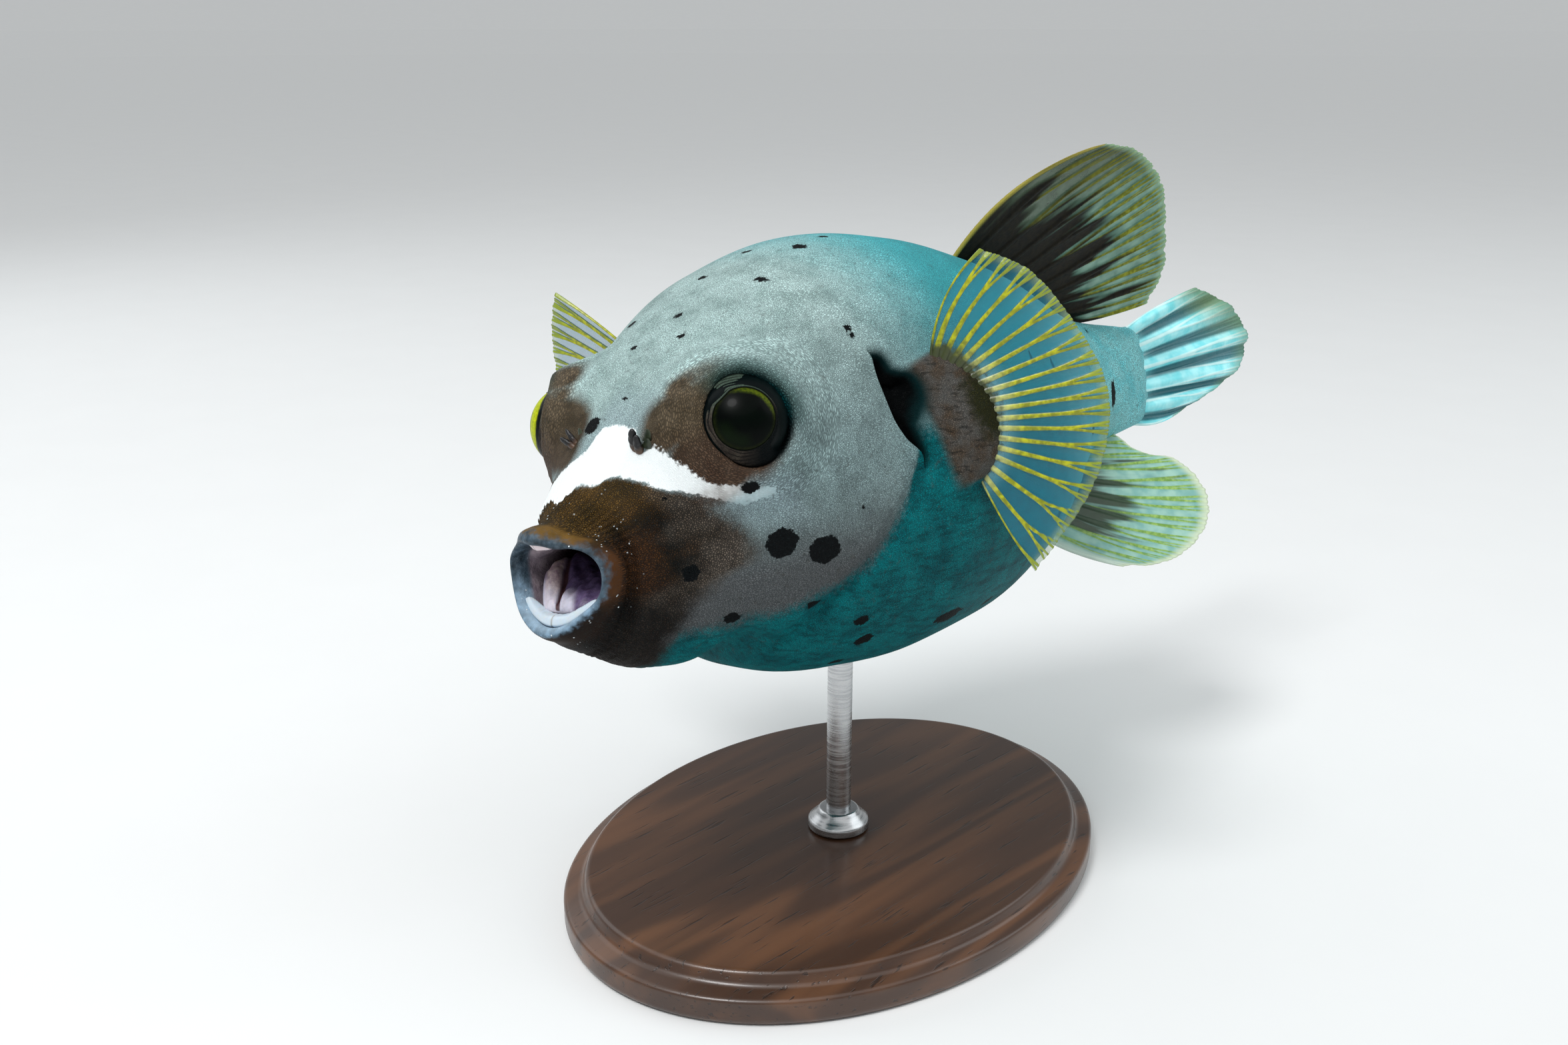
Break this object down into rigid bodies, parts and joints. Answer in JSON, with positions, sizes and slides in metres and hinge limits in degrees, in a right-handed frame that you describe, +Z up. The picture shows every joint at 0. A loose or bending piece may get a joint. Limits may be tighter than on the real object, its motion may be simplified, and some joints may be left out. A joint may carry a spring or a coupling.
{
  "type": "blackspotted pufferfish display model",
  "caption": "Life-size still model of a blackspotted pufferfish, mouth open and banked as it swims, held over an oval display base by a rod.",
  "frame": {"origin": "centre of the stand base's flat underside, on the floor", "axes": "+Z up; the fish looks along -Y with its left side towards +X, banked left side up"},
  "size_m": [0.1381, 0.25, 0.1712],
  "materials": {
    "skin": "matt, finely wrinkled, pale grey with brown muzzle and black spots",
    "lips": "satin, blue-grey with white specks",
    "beak": "satin cream tooth plate",
    "tongue": "moist mauve flesh",
    "eyes": "clear glossy cornea over a dark pupil and yellow-green iris",
    "nostrils": "matt near-black",
    "fins": "thin translucent membrane with yellow-olive rays",
    "tail_fin": "thin whitish membrane folded between its rays",
    "stand_wood": "satin dark hardwood",
    "stand_steel": "fine brushed"
  },
  "bodies": {
    "root": {"head": "skin", "trunk": "skin", "tail_stalk": "skin", "pectoral_base_left": "skin", "pectoral_base_right": "skin", "upper_lip": "lips", "lower_lip": "lips", "upper_beak": "beak", "lower_beak": "beak", "tongue": "tongue", "eye_left": "eyes", "eye_right": "eyes", "nostril_left": "nostrils", "nostril_right": "nostrils", "pectoral_fin_left": "fins", "pectoral_fin_right": "fins", "dorsal_fin": "fins", "anal_fin": "fins", "caudal_fin": "tail_fin", "stand_base": "stand_wood", "stand_collar": "stand_steel", "stand_rod": "stand_steel"}
  },
  "joints": []
}
